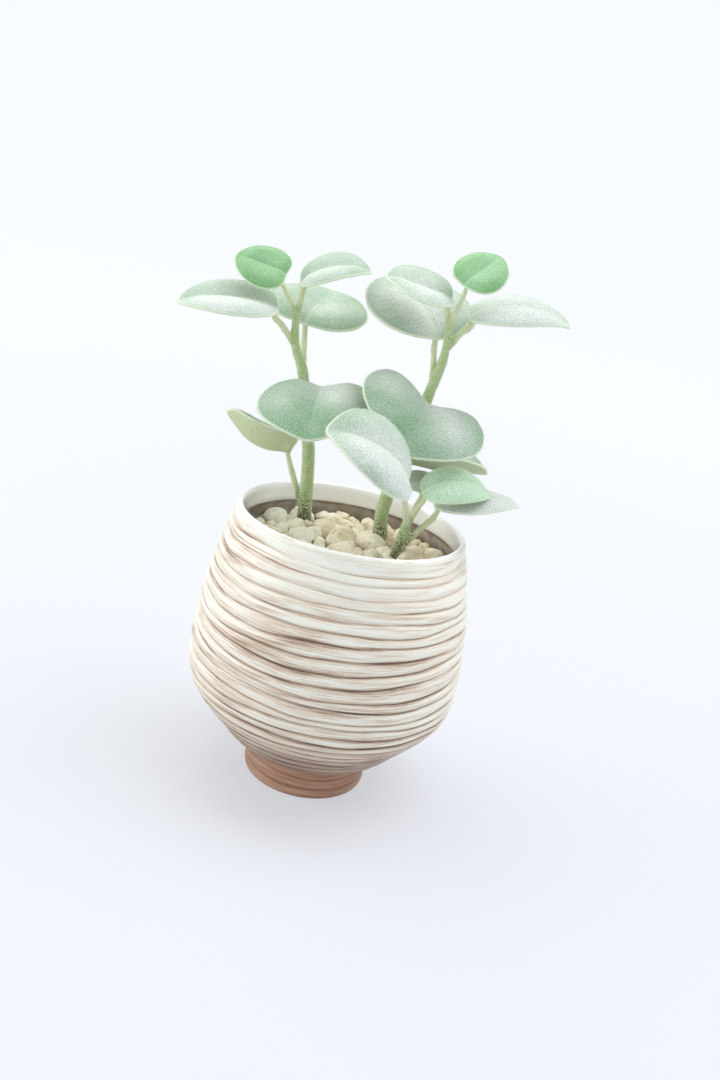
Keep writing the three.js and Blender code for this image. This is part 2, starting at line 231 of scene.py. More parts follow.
sky = bpy.data.worlds.new("sky")
sky.use_nodes = True
fill(sky.node_tree.nodes["Background"], {"Color": "#F4F7FC", "Strength": 0.6})
bpy.context.scene.world = sky
bpy.context.scene.view_settings.view_transform = "Standard"
print("light:", len(PANELS), "panels and a pale sky")

# %% [markdown]
# ## The pot
#
# The real pot was thrown on a wheel and its wall drawn into uneven rings with a tool, then
# brushed with cream glaze, which was wiped so that the brown clay slip shows in the grooves as
# fine streaks that run round the pot. The lip is dipped in glossy white glaze.
#
# A lathe profile spun round gives the wall. The rings wander up and down and vary in depth, so
# after the spin each point of the wall is moved by a formula of its height and angle.

# %% The pot's sizes
POT_STEPS = 300
BODY = [(28.5, 15), (37, 19), (44.5, 27), (58, 44), (60, 62), (57.5, 87), (53, 108), (50, 117.5)]
FOOT_RADIUS = 27.6
FOOT_GROOVES = [0, 4.7, 9.3]
GROOVES = [17.5, *range(21, 58, 4), *range(62, 113, 5), 116]  # 4 mm apart low down, 5 mm above
WALL_LOW = 15.0  # the foot ends and the body starts here
WALL_TOP = 117.5
LIP_EDGE = 122.0  # the streaked glaze ends here, and the dipped white one starts
LIP_INSIDE_END = 114  # inside, the dipped glaze reaches down to here
LIP_OUTSIDE = [(49.6, 119.2), (49.4, 120.6), (48.9, 121.7), (48.2, 122.3), (47.4, 122.6)]
LIP_INSIDE = [(46.8, 122.2), (46.4, 121.2), (46.2, 119.5), (46, 116), (46, 114.2), (46.4, 113.6)]
RING_WAVE = {"rise": 1.6, "low": 50, "high": 104}
WALL = 4.0


def catmull_rom(points, steps):
    """A smooth curve through points, as a list with so many steps to a span."""
    ends = [2 * points[0] - points[1], *points, 2 * points[-1] - points[-2]]
    curve = []
    for a, b, c, d in zip(ends, ends[1:], ends[2:], ends[3:]):
        for step in range(steps):
            t = step / steps
            curve.append(
                0.5 * (2 * b + (c - a) * t + (2 * a - 5 * b + 4 * c - d) * t**2)
                + 0.5 * (3 * b - a - 3 * c + d) * t**3
            )
    return [*curve, points[-1]]


wall_curve = catmull_rom([Vector(point) for point in BODY], 24)
wall_heights = [point.y for point in wall_curve]


def wall_radius(height):
    """The outer wall's radius at a height, without its rings."""
    above = min(max(bisect(wall_heights, height), 1), len(wall_curve) - 1)
    low, high = wall_curve[above - 1], wall_curve[above]
    return mix(low.x, high.x, min(max((height - low.y) / (high.y - low.y), 0), 1))


print("wall radius at 62 mm:", round(wall_radius(62), 1))

# %% [markdown]
# Each groove is a narrow crease between two soft, rounded ridges. No two are alike on a thrown
# wall: each wanders up and down by itself and changes in depth as it goes round. The same rings
# steer the glaze, through point attributes: level counts the rings upwards, hollow is 0 on the
# crest of a ridge and 1 down beside it, and groove is 1 only in the crease.

# %% The rings
RIDGE_DEPTH = 0.95
CREASE = {"width": 0.55, "depth": 0.5}
FINE_RINGS = 0.14  # the marks of the maker's tool on the ridges
DRIFT = 1.5  # how far one ring wanders from its neighbours' course
LAST_RING = 5  # the height of the smooth ring under the lip
ALL_GROOVES = FOOT_GROOVES + GROOVES


def ring_wave(angle, height):
    """How far a ring lies above or below its height at an angle round the pot."""
    low, high = RING_WAVE["low"], RING_WAVE["high"]
    share = min(max((height - low) / (high - low), 0), 1)
    swell = math.sin(math.pi * share) * math.sin(2 * angle + 5 * share)
    return RING_WAVE["rise"] * swell


@lru_cache(maxsize=None)
def rings_at(angle):
    """The height and the depth of every groove at one angle round the pot."""
    around = Vector((math.cos(angle), math.sin(angle), 0))
    heights, depths = [], []
    for number, groove in enumerate(ALL_GROOVES):
        loose = 0.3 if groove < WALL_LOW else min(1, (groove - WALL_LOW) / 20)
        wander = noise.noise(around * 1.2 + Vector((0, 0, 3.7 * number)))
        wander += 0.4 * noise.noise(around * 3.1 + Vector((0, 0, 1.9 * number)))
        heights.append(groove + ring_wave(angle, groove) + DRIFT * loose * wander)
        # the rings are fainter under the rim, and low on the wall
        strength = mix(0.85, 0.45, smooth_step(90, 110, groove))
        strength *= mix(0.7, 1, smooth_step(30, 50, groove))
        varied = 1 + 0.9 * noise.noise(around * 1.6 + Vector((9, 0, 5.3 * number)))
        depths.append(strength * varied)
    return heights, depths


def ring_place(angle, height):
    """Level, hollow and groove, as above, with the depth of the nearest groove."""
    heights, depths = rings_at(round(angle, 4))
    above = min(max(bisect(heights, height), 1), len(heights) - 1)
    low, high = heights[above - 1], heights[above]
    share = min(max((height - low) / (high - low), 0), 1)
    past = max(0, height - heights[-1])  # above the last groove the wall runs out smooth
    level = above - 1 + share + past / LAST_RING
    hollow = (1 - math.sin(math.pi * share) ** 0.65) * math.exp(-past)
    nearest = above - 1 if share < 0.5 else above
    off = min(abs(height - low), abs(high - height))
    crease = math.exp(-((off / CREASE["width"]) ** 2)) if off < 3 else 0
    depth = mix(depths[above - 1], depths[above], share)
    return level, hollow, crease * min(1, depths[nearest] + 0.2), depth


def ribbed_radius(radius, angle, height):
    level, hollow, crease, depth = ring_place(angle, height)
    fine = noise.noise(Vector((math.cos(angle), math.sin(angle), level * 6)))
    cut = RIDGE_DEPTH * depth * hollow + CREASE["depth"] * depth * crease
    return radius - cut + FINE_RINGS * (fine - 0.5)


print("grooves:", len(GROOVES), "on the body,", len(FOOT_GROOVES), "on the foot")

# %% The pot's profile, spun
OUTSIDE_STEP = 0.55
FOOT_PITCH = 4.7
FOOT_EDGE = [(FOOT_RADIUS - 3.5, 0.0), (FOOT_RADIUS - 0.9, 0.0), (FOOT_RADIUS - 0.35, 0.35)]
INSIDE_HEIGHTS = (112, 108, 104, 92, 78, 62, 44, 27)
WELL = [(33.5, 20.5), (24, 16), (23, 6), (0, 6)]  # the hollow's bottom, down into the foot


def surface_radius(height):
    """The radius outside. The foot is a short, ribbed collar that flares into the body."""
    if height >= WALL_LOW:
        return wall_radius(height)
    flare = 0.9 * max(0, (height - 12.5) / 2.5) ** 2
    return FOOT_RADIUS - 0.7 + 0.7 * abs(math.sin(math.pi * height / FOOT_PITCH)) + flare


outside = [*FOOT_EDGE]
height = 1.0
while height < WALL_TOP:
    outside.append((surface_radius(height), height))
    height += OUTSIDE_STEP
inside = [(wall_radius(z) - WALL, z) for z in INSIDE_HEIGHTS]
profile = [(0, 0), *outside, *LIP_OUTSIDE, *LIP_INSIDE, *inside, *WELL]
pot_mesh = lathe([(r * MM, z * MM) for r, z in profile], steps=POT_STEPS, weld=1e-6)
print("profile:", len(profile), "points, spun in", POT_STEPS, "steps")

# %% The rings cut into the wall, and where each glaze lies
ring_layers = [pot_mesh.verts.layers.float.new(key) for key in ("level", "hollow", "groove")]
for point in pot_mesh.verts:
    x, y, z = point.co / MM
    radius, angle = math.hypot(x, y), math.atan2(y, x)
    if radius < surface_radius(z) - 1 or z < 0.2 or z > LIP_EDGE:
        continue
    *ring, depth = ring_place(angle, z)
    for layer, value in zip(ring_layers, ring):
        point[layer] = value
    if z > WALL_TOP:
        continue
    grown = ribbed_radius(radius, angle, z) if z > WALL_LOW else radius - 0.3 * ring[2]
    point.co.x *= grown / radius
    point.co.y *= grown / radius
LIP, BARE = 1, 2  # the places of these finishes on the pot: the ribbed wall's is 0
for face in pot_mesh.faces:
    x, y, z = face.calc_center_median() / MM
    within = math.hypot(x, y) < surface_radius(z) - 1.5
    if z > (LIP_INSIDE_END if within else LIP_EDGE):
        face.material_index = LIP
    elif within:
        face.material_index = BARE
print("pot:", len(pot_mesh.verts), "points,", len(pot_mesh.faces), "faces")

# %% [markdown]
# The glaze is satin, so its highlights are soft. Brown slip shows where it ran thin: in the
# creases and beside the ridges, and in broad patches. More of it towards the right is painted shade
# of the side away from the lamps, and more low on the wall is denser slip and painted shade. The
# bristle marks follow the rings, so their noise is laid by the ring's number. The foot is red-brown
# clay, made redder by a painted warm reflection.

# %% The streaks of the glaze
glaze, shader, place = new_finish("satin_cream_glaze_brushed_over_brown_slip")
axes = {axis: add(glaze, "SeparateXYZ", (place,), out=axis) for axis in "XYZ"}
level, hollow, groove = (
    add(glaze, "Attribute", out="Fac", attribute_name=key)
    for key in ("level", "hollow", "groove")
)
course = add(glaze, "CombineXYZ", (axes["X"], axes["Y"], level))
# per metre round the pot, per ring, detail and roughness: bristle marks 0.6 mm apart and 20 mm
# long, smears 2 mm wide and 35 mm long, and patches of three rings
STREAKS = [(50, 11, 5, 0.66), (28, 2.2, 2, 0.5), (9, 0.33, 2, 0.5)]
streaks = []
for round_pot, per_ring, detail, roughness in STREAKS:
    times = (round_pot, round_pot, per_ring)
    laid = add(glaze, "VectorMath", (course, times), operation="MULTIPLY")
    grain = {"Vector": laid, "Scale": 1.0, "Detail": detail, "Roughness": roughness}
    streaks.append(add(glaze, "TexNoise", grain))
bristles, smears, patches = streaks
print("streaks:", len(streaks), "kinds")

# %% The pot's finishes
SLIP_COLOURS = [
    (0, "#E9EADF"), (0.22, "#E0D8C9"), (0.45, "#CBB9A4"), (0.7, "#A68D77"), (1, "#6B5443")
]
SLIP_SHARES = {  # what it goes by, from where to where, and its share at each end
    "in_patches": (patches, 0.36, 0.64, 0.25, 1.0),
    "in_soft_patches": (patches, 0.3, 0.6, 0.45, 1.0),
    # more slip towards the right: painted shade of the side away from the lamps
    "right_side_painted_shade": (axes["X"], -0.01, 0.05, 1.0, 1.6),
    "beside_ridge": (hollow, 0.15, 0.95, 0.0, 0.34),
    "in_crease": (groove, 0.35, 1.0, 0.0, 0.4),
    "smeared": (smears, 0.42, 0.66, 0.0, 0.42),
    "scratched": (bristles, 0.47, 0.6, 0.0, 0.42),
    # more slip low on the wall: denser slip, and painted shade as well
    "low_wall": (axes["Z"], 0.048, 0.018, 0.0, 0.8),
    "off_foot": (axes["Z"], 0.018, 0.015, 0.0, -0.22),
    "near_rim": (axes["Z"], 0.108, 0.119, 0.0, -0.16),
    # the foot's red-brown clay, made redder by a painted warm reflection
    "red_foot": (axes["Z"], 0.018, 0.015, 0.0, 0.42),
}
HELD_BACK = [
    ("beside_ridge", "in_patches"), ("beside_ridge", "right_side_painted_shade"), ("in_crease", "right_side_painted_shade"),
    ("smeared", "in_patches"), ("scratched", "in_soft_patches"),
]
shares = {}
for key, row in SLIP_SHARES.items():
    shares[key] = add(glaze, "MapRange", row)
for key, other in HELD_BACK:
    shares[key] = add(glaze, "Math", (shares[key], shares[other]), operation="MULTIPLY")
slip = shares["beside_ridge"]
for key in ("in_crease", "smeared", "scratched", "low_wall", "off_foot", "near_rim"):
    slip = add(glaze, "Math", (slip, shares[key]))
slip_colours = add(glaze, "ValToRGB", {"Fac": slip}, stops=SLIP_COLOURS)
reddened = {"Factor": shares["red_foot"], "A": slip_colours, "B": "#AA6B45"}
bristle_bump = {"Height": bristles, "Strength": 0.35, "Distance": 0.0004}
fill(shader, {"Base Color": add(glaze, "Mix", reddened, data_type="RGBA"), "Roughness": 0.42})
fill(shader, {"Normal": add(glaze, "Bump", bristle_bump)})
fill(shader, {"Coat Weight": 0.15, "Coat Roughness": 0.3})

lip_glaze, shader, _ = new_finish("glossy_white_glaze_on_the_lip")
fill(shader, {"Base Color": "#FAF9FA", "Roughness": 0.12, "Coat Weight": 0.6})

bare_clay, shader, place = new_finish("thin_matt_glaze_inside")
stain = add(bare_clay, "TexNoise", {"Vector": place, "Scale": 230.0, "Detail": 6.0})
# painted shadow under the lip's ledge: darker up to 113 mm, just below where the dipped glaze ends
up = add(bare_clay, "SeparateXYZ", (place,), out="Z")
ledge_shadow = add(bare_clay, "MapRange", (up, 0.1118, 0.1132, 0.0, 0.25))
stain_and_ledge_shadow = add(bare_clay, "Math", (stain, ledge_shadow), operation="SUBTRACT")
STAINS = [(0.25, "#9A8D82"), (0.48, "#C8BCB0"), (0.7, "#DED6CE")]
inside_colours = add(bare_clay, "ValToRGB", {"Fac": stain_and_ledge_shadow}, stops=STAINS)
fill(shader, {"Base Color": inside_colours, "Roughness": 0.6})

pot = mesh_piece("glazed_pot", pot_mesh, glaze, lip_glaze, bare_clay)
hand_over(pot, "pot_glaze", "pot")
print("pot finished:", len(pot.data.materials), "finishes")

# %% [markdown]
# ## Potting mix
#
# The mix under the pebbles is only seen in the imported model. Its solid has the right shape, so it
# stays and gets a dark, crumbly finish.

# %% Potting mix
soil, shader, place = new_finish("damp_peat_potting_mix")
crumbs = add(soil, "TexNoise", {"Vector": place, "Scale": 700.0, "Detail": 6.0})
soil_colours = add(soil, "ValToRGB", {"Fac": crumbs}, stops=[(0, "#241A12"), (1, "#6B5642")])
crumble = add(soil, "Bump", {"Height": crumbs, "Distance": 0.001})
fill(shader, {"Base Color": soil_colours, "Roughness": 0.95, "Normal": crumble})
mix_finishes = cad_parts["potting_mix"].data.materials
mix_finishes.clear()
mix_finishes.append(soil)
print("potting mix: a finish on the packed solid")

# %% [markdown]
# ## Pumice pebbles
#
# The dressing is washed pumice, 5 to 12 mm: rounded lumps with a few worn flats, cream to tan,
# with pinholes. Each pebble is a sphere whose reach in each direction is held back by a few
# random planes, softly, which leaves worn flats. The places are thrown by the same seeded rule as
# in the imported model, then small ones fill the gaps.

# %% Where the pebbles lie
PEBBLES = {"seed": 41, "reach": 45.5, "level": 106.8, "crowding": 0.82, "tilt": 0.4, "throws": 4000}
PEBBLE_SIZES = [(14, 5.8), (28, 4.6), (50, 3.4)]  # how many, and their mean radius


def thrown(draw, reach):
    """A place thrown evenly over a disc."""
    out, angle = reach * math.sqrt(next(draw)), math.tau * next(draw)
    return {"x": out * math.cos(angle), "y": out * math.sin(angle)}


def crowded(pebble, others, crowding):
    """Whether a pebble lies too deep in another one."""
    return any(
        math.hypot(pebble["x"] - other["x"], pebble["y"] - other["y"])
        < crowding * (pebble["radius"] + other["radius"])
        for other in others
    )


def pebble_places():
    draw = random_from(PEBBLES["seed"])
    places = []
    for count, mean in PEBBLE_SIZES:
        wanted = len(places) + count
        for _ in range(PEBBLES["throws"]):
            if len(places) == wanted:
                break
            radius = mean * (0.88 + 0.24 * next(draw))
            pebble = {"radius": radius, **thrown(draw, PEBBLES["reach"] - radius)}
            if crowded(pebble, places, PEBBLES["crowding"]):
                continue
            pebble["spin"] = [math.tau * next(draw) for _ in range(3)]
            pebble["stretch"] = [1, 0.82 + 0.2 * next(draw), 0.72 + 0.2 * next(draw)]
            pebble["lift"] = 0.5 * radius * next(draw)
            places.append(pebble)
    return places


places = pebble_places()
print("pebbles:", len(places))

# %% The shape of a pebble
FLATS = {"count": 14, "sharpness": 55, "nearest": 0.64, "farthest": 0.93}


def pebble_reach(direction, flats):
    """How far a pebble reaches in a direction: a sphere held back, softly, by its flats."""
    total = 1.0
    for normal, distance in flats:
        facing = direction.dot(normal)
        if facing > 0.05:
            total += (facing / distance) ** FLATS["sharpness"]
    return total ** (-1 / FLATS["sharpness"])


def add_pebble(gravel, place, subdivisions, draw):
    """Shapes one pebble in a bmesh of its own, then adds it to the gravel's."""
    pebble = bmesh.new()
    stone = pebble.verts.layers.float.new("stone")
    bmesh.ops.create_icosphere(pebble, subdivisions=subdivisions, radius=1)
    flats = []
    for _ in range(FLATS["count"]):
        normal = Vector([next(draw) - 0.5 for _ in range(3)]).normalized()
        flats.append((normal, mix(FLATS["nearest"], FLATS["farthest"], next(draw))))
    tilt = PEBBLES["tilt"]
    turned = (
        Matrix.Rotation(place["spin"][2], 3, "Z")
        @ Matrix.Rotation(tilt * math.sin(place["spin"][1]), 3, "Y")
        @ Matrix.Rotation(tilt * math.sin(place["spin"][0]), 3, "X")
    )
    size = Vector([place["radius"] * share for share in place["stretch"]])
    centre = Vector((place["x"], place["y"], PEBBLES["level"] + place["lift"]))
    shade = next(draw)
    offset = Vector((place["x"], place["y"], 7 * shade))
    for point in pebble.verts:
        direction = point.co.normalized()
        lumpy = 1.15 + 0.08 * noise.noise(direction * 2.3 + offset)
        lumpy += 0.025 * noise.noise(direction * 7 + offset)
        local = direction * pebble_reach(direction, flats) * lumpy
        point.co = (turned @ Vector([a * b for a, b in zip(local, size)]) + centre) * MM
        point[stone] = shade
    carried = bpy.data.meshes.new("pebble")
    pebble.to_mesh(carried)
    pebble.free()
    gravel.from_mesh(carried)
    bpy.data.meshes.remove(carried)


print("a pebble has", FLATS["count"], "flats")

# %% The dressing
FILL = {"throws": 5000, "reach": 45.5, "radius": (1.7, 3.0), "lift": (-2.4, -0.5), "crowding": 0.62}
# the bed stands for soil under the pebbles, and its darkest brown is painted shade in the gaps
BED = {"radius": 46.6, "height": 104.5, "stone": 2.2}  # the dark, dusty disc under the pebbles

gravel_mesh = bmesh.new()
gravel_mesh.verts.layers.float.new("stone")
draw = random_from(77)
for spot in places:
    add_pebble(gravel_mesh, spot, 4 if spot["radius"] > 4 else 3, draw)
between = []
for _ in range(FILL["throws"]):
    small = thrown(draw, FILL["reach"])
    small["radius"] = mix(*FILL["radius"], next(draw))
    small["spin"] = [math.tau * next(draw) for _ in range(3)]
    small["stretch"] = [1, 0.88, 0.8]
    small["lift"] = mix(*FILL["lift"], next(draw))
    if not crowded(small, places + between, FILL["crowding"]):
        between.append(small)
for small in between:
    add_pebble(gravel_mesh, small, 2, draw)
lowered = Matrix.Translation((0, 0, BED["height"] * MM))
bed = bmesh.ops.create_circle(
    gravel_mesh, cap_ends=True, radius=BED["radius"] * MM, segments=96, matrix=lowered
)
stone = gravel_mesh.verts.layers.float["stone"]
for point in bed["verts"]:
    point[stone] = BED["stone"]
bmesh.ops.recalc_face_normals(gravel_mesh, faces=gravel_mesh.faces)
print("small pebbles between:", len(between), "faces in all:", len(gravel_mesh.faces))

# %% The pebbles' finish
# the last, dark brown stop is reached mostly low in the gaps and on the bed: painted shade
PUMICE_COLOURS = [(0, "#FEFBEC"), (0.35, "#FCF4DF"), (0.78, "#F0DBBF"), (1, "#7A6549")]

pumice, shader, place = new_finish("washed_pumice")
axes = {axis: add(pumice, "SeparateXYZ", (place,), out=axis) for axis in "XZ"}
# pinholes about 0.5 mm wide and some 1.5 mm apart, lumps of 3 mm, and grit of half a millimetre
pinholes = add(pumice, "TexVoronoi", {"Vector": place, "Scale": 700.0})
lumps = add(pumice, "TexNoise", {"Vector": place, "Scale": 350.0, "Detail": 4.0})
grit = add(pumice, "TexNoise", {"Vector": place, "Scale": 1800.0, "Detail": 3.0})
# creamier at the left and more tan at the right; painted shade, darker and browner, low down
# in the gaps; pinholes in patches, darkened as painted shade inside them
tan = add(pumice, "MapRange", (axes["X"], -0.03, 0.04, 0.0, 0.32))
gap_shade = add(pumice, "MapRange", (axes["Z"], 0.1074, 0.1048, 0.0, 0.7))
sound = add(pumice, "MapRange", (pinholes, 0.12, 0.32))
whole = add(pumice, "MapRange", (lumps, 0.5, 0.62, 1.0, 0.0))
tan_and_gap_shade = add(pumice, "Math", (tan, gap_shade))
stone = add(pumice, "Attribute", out="Fac", attribute_name="stone")
stone = add(pumice, "Math", (stone, 0.5), operation="MULTIPLY")
stone = add(pumice, "Math", (stone, tan_and_gap_shade), use_clamp=True)
stone = add(pumice, "ValToRGB", {"Fac": stone}, stops=PUMICE_COLOURS)
unpitted = add(pumice, "Math", (sound, whole), operation="MAXIMUM")
# the pinholes darker: painted shade inside them
with_shaded_pinholes = add(pumice, "Mix", {"Factor": unpitted, "A": "#AC9674", "B": stone}, data_type="RGBA")
RELIEF = [(lumps, 0.8, 0.003), (unpitted, 0.6, 0.0004), (grit, 0.5, 0.0003)]
relief = {}
for height, strength, distance in RELIEF:
    bump = {"Height": height, "Strength": strength, "Distance": distance, **relief}
    relief = {"Normal": add(pumice, "Bump", bump)}
fill(shader, {"Base Color": with_shaded_pinholes, "Roughness": 0.92, **relief})
gravel = mesh_piece("pumice_dressing", gravel_mesh, pumice)
hand_over(gravel, "pumice", "gravel")
print("pumice finished")

# %% [markdown]
# ## Stems and leaf stalks
#
# Three fleshy stems, 6 mm thick at the foot, each with a round stalk to every leaf. The places are
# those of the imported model: a stem is a list of stations, and a stalk runs from its stem to the
# seat of its leaf. Stalk and stem are one flesh, so the tubes are joined by a voxel remesh, and a
# little smoothing turns each joint into the soft fillet that a real one has.

# %% The plant's sizes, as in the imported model
STEMS = {  # each a list of stations: x, y, height and radius
    "stem_left": [
        (-20.5, 23, 92, 3.2), (-21.5, 23, 110, 3.2), (-25, 21, 142, 2.7),
        (-32.5, 19, 173.5, 2.3), (-38.3, 18, 187, 1.9), (-40, 17, 200.5, 1.5),
    ],
    "stem_middle": [
        (12.5, 13.5, 92, 3.2), (13, 13, 110, 3.2), (12.5, 12, 131, 2.9),
        (21, 9, 179.5, 2.3), (23.5, 8, 194, 1.9), (23, 7, 209.5, 1.3),
    ],
    "stem_right": [(20, -3, 94, 2.6), (21, -4, 110, 2.6), (22, -5, 120, 2.3), (23, -6, 129.5, 1.9)],
}
# Each leaf: the height on the stem that its stalk leaves from, its seat, how it is turned, lifted
# and rolled (degrees), its length and width, and its form: rise, droop, arch, notch and egg.
LEAF_ROWS = {
    "leaf_left_top": (199.5, (-46, 12, 215), (175, 8, -45), (24, 22), (0.12, 0.12, 0, 0.1, 0.08)),
    "leaf_left_inner": (199.5, (-41, 18, 212), (0, 22, 17), (31, 33), (0.38, 0.28, 0.25, 0.05, 0.08)),
    "leaf_left_outer": (188, (-47, 12, 201), (188, -5, -18), (42, 34), (0.35, 0.28, 0.14, 0.05, 0.08)),
    "leaf_left_back": (174, (-37, 28, 195), (78, 20, 5), (42, 46), (0.15, 0.15, 0.1, 0.08, 0.08)),
    "leaf_left_front": (150, (-23.5, 8, 173.7), (269, -25, 8), (42, 49), (0.25, 0.3, 0.15, 0.2, -0.04)),
    "leaf_left_low": (112, (-33, 25, 140.5), (175, 12, 12), (35, 18), (1.5, 0.3, -0.42, 0.12, 0.08)),
    "leaf_middle_front": (163, (21.4, -2, 177.5), (255, -32, -22), (41, 55), (0.25, 0.3, 0.15, 0.3, 0.16)),
    "leaf_middle_low": (136, (17, 20, 147), (8, 0, 0), (38, 30), (0.9, 0.2, -0.1, 0.05, 0.08)),
    "leaf_middle_back": (183, (20, 12, 201.5), (125, 27, -9), (45, 50), (0.35, 0.32, 0.12, 0.06, 0.08)),
    "leaf_middle_inner": (208, (22, 6, 219), (188, 8, -20), (29, 32), (0.3, 0.17, 0, 0.05, 0.08)),
    "leaf_middle_round": (208, (24.5, -2, 225.5), (42, 36, 26), (22.5, 22), (0.1, 0.1, 0, 0.05, 0.08)),
    "leaf_middle_outer": (199, (29.5, 10, 213), (0, 8, 13), (43, 34), (0.35, 0.42, 0.27, 0.05, 0.08)),
    "leaf_right_front": (127, (19, -33, 151.5), (205, 26, -36), (42.5, 38), (0.4, 0.4, 0.28, 0.05, 0.08)),
    "leaf_right_small": (128, (25, -16, 143.5), (15, 8, 18), (30.5, 25), (0.4, 0.45, 0.38, 0.05, 0.08)),
    "leaf_right_outer": (116, (32, -8, 137), (8, 11, 0), (36, 30), (0.35, 0.4, 0.15, 0.05, 0.08)),
    "leaf_right_back": (127, (27, 5, 138), (84, 12, 0), (22, 21), (0.25, 0.25, 0.1, 0.05, 0.08)),
}
YOUNG_LEAVES = {"leaf_left_top", "leaf_middle_round", "leaf_right_small"}
LEAVES = {}
for name, row in LEAF_ROWS.items():
    leaf = dict(zip(("from", "seat", "pose", "size", "form"), row))
    LEAVES[name] = {**leaf, "stem": "stem_" + name.split("_")[1], "young": name in YOUNG_LEAVES}
print("stems:", len(STEMS), "leaves:", len(LEAVES))

# %% [markdown]
# A leaf's outline is an ellipse, drawn out a little at the tip, notched where the stalk joins, and
# wider towards the stalk (egg). Across, its halves rise from the midrib and droop again near the
# margin; along, it arches. One function gives a point of the blade and the way it faces there.

# %% The leaf's form
TIP, TIP_WIDTH, NOTCH_WIDTH = 0.06, 0.35, 0.45
FOLD = 0.004


def blade_point(leaf, reach, angle):
    """A point of the blade's middle surface and its normal, in the leaf's own millimetres."""
    length, width = leaf["size"]
    rise, droop, arch, notch, egg = leaf["form"]
    from_tip = math.atan2(math.sin(angle), math.cos(angle))
    from_seat = math.pi - abs(from_tip)
    drawn_out = 1 + TIP * math.exp(-((from_tip / TIP_WIDTH) ** 2))
    notched = notch * length * math.exp(-((from_seat / NOTCH_WIDTH) ** 2))
    x = reach * (length / 2 * math.cos(from_tip) * drawn_out + notched)
    y = reach * width / 2 * math.sin(from_tip) * (1 - egg * math.cos(from_tip))
    along, across = x / (length / 2), y / (width / 2)
    folded = math.sqrt(across**2 + FOLD)
    z = width / 2 * (rise * (folded - math.sqrt(FOLD)) - droop * across**2)
    z -= length / 2 * arch * along**2
    slope = rise * across / folded - 2 * droop * across
    return Vector((x, y, z)), Vector((2 * arch * along, -slope, 1)).normalized()


def leaf_matrix(leaf):
    """Turns the leaf's own millimetres into its place on the plant, still in millimetres."""
    turn, lift, roll = (math.radians(angle) for angle in leaf["pose"])
    base, _ = blade_point(leaf, 1, math.pi)
    return (
        Matrix.Translation(leaf["seat"])
        @ Matrix.Rotation(turn, 4, "Z")
        @ Matrix.Rotation(-lift, 4, "Y")
        @ Matrix.Rotation(roll, 4, "X")
        @ Matrix.Translation(-base)
    )


front_leaf = LEAVES["leaf_left_front"]
tip = leaf_matrix(front_leaf) @ blade_point(front_leaf, 1, 0)[0]
print("left front leaf's tip at", [round(v) for v in tip], "mm")

# %% Stems and stalks as tubes
STALK = {"root": 1.5, "under_seat": 2.2, "sunk": 0.5}
STALK_RADII = {False: (1.3, 1.0), True: (0.95, 0.62)}  # young or not: on its way, in its blade
ARCHED = [(0.62, 0.5, 0), (0.9, 0.8, 1)]  # share sideways, share risen, sag in mm
STRAIGHT = [(0.36, 0.33, 0), (0.7, 0.68, 0)]
STALK_BENDS = {"leaf_left_low": STRAIGHT}


def stem_point(stem, height):
    """The middle of a stem at a height, with the stem's radius there."""
    for low, high in zip(stem, stem[1:]):
        if low[2] <= height <= high[2]:
            share = (height - low[2]) / (high[2] - low[2])
            return Vector([mix(a, b, share) for a, b in zip(low, high)])
    return Vector(stem[-1])


def stalk_course(name, leaf):
    """The stations of the stalk, from inside its stem to just under its leaf's blade."""
    start = stem_point(STEMS[leaf["stem"]], leaf["from"])
    base, _ = blade_point(leaf, 1, math.pi)
    end = leaf_matrix(leaf) @ (base + Vector((STALK["under_seat"], 0, -STALK["sunk"])))
    radius, end_radius = STALK_RADII[leaf["young"]]
    course = [Vector((start.x, start.y, start.z - 1.5, STALK["root"]))]
    for sideways, risen, sag in STALK_BENDS.get(name, ARCHED):
        x, y = mix(start.x, end.x, sideways), mix(start.y, end.y, sideways)
        course.append(Vector((x, y, mix(start.z, end.z, risen) - sag, radius)))
    course.append(Vector((*end, end_radius)))
    return catmull_rom(course, 8)


def tubes(name, courses, roundness, capped):
    """Round tubes along courses of (x, y, z, radius) in millimetres, as one curve."""
    curve = bpy.data.curves.new(name, "CURVE")
    curve.dimensions = "3D"
    curve.bevel_depth = MM
    curve.bevel_resolution = roundness
    curve.use_fill_caps = capped
    for course in courses:
        spline = curve.splines.new("POLY")
        spline.points.add(len(course) - 1)
        for point, station in zip(spline.points, course):
            point.co = (*(station.xyz * MM), 1)
            point.radius = station[3]
    return curve


VOXEL = 0.32
SOFTENINGS = 8  # rounds of smoothing that make the fillets
stem_meshes = {}
for name, stem in STEMS.items():
    courses = [catmull_rom([Vector(station) for station in stem], 10)]
    courses += [stalk_course(key, leaf) for key, leaf in LEAVES.items() if leaf["stem"] == name]
    rough = in_scene("rough_" + name, tubes(name, courses, roundness=5, capped=True))
    joined = rough.modifiers.new("joined", "REMESH")
    joined.mode = "VOXEL"
    joined.voxel_size = VOXEL * MM
    soft = rough.modifiers.new("soft", "SMOOTH")
    soft.factor, soft.iterations = 0.5, SOFTENINGS
    evaluated = rough.evaluated_get(bpy.context.evaluated_depsgraph_get())
    stem_meshes[name] = bpy.data.meshes.new_from_object(evaluated)
    bpy.data.objects.remove(rough)
    print(name, len(stem_meshes[name].vertices), "points")

# %% [markdown]
# The stems are leaf green under a grey fuzz, and corky brown where they come out of the gravel.
# The stalks are paler and yellower. A point attribute named stalk says how far a point lies out
# on a stalk. Small bumps along the stem keep it from looking like a pipe.

# %% The stems' finish
flesh, shader, place = new_finish("fleshy_green_stem_with_grey_fuzz")
height = add(flesh, "SeparateXYZ", (place,), out="Z")
on_stalk = add(flesh, "Attribute", out="Fac", attribute_name="stalk")
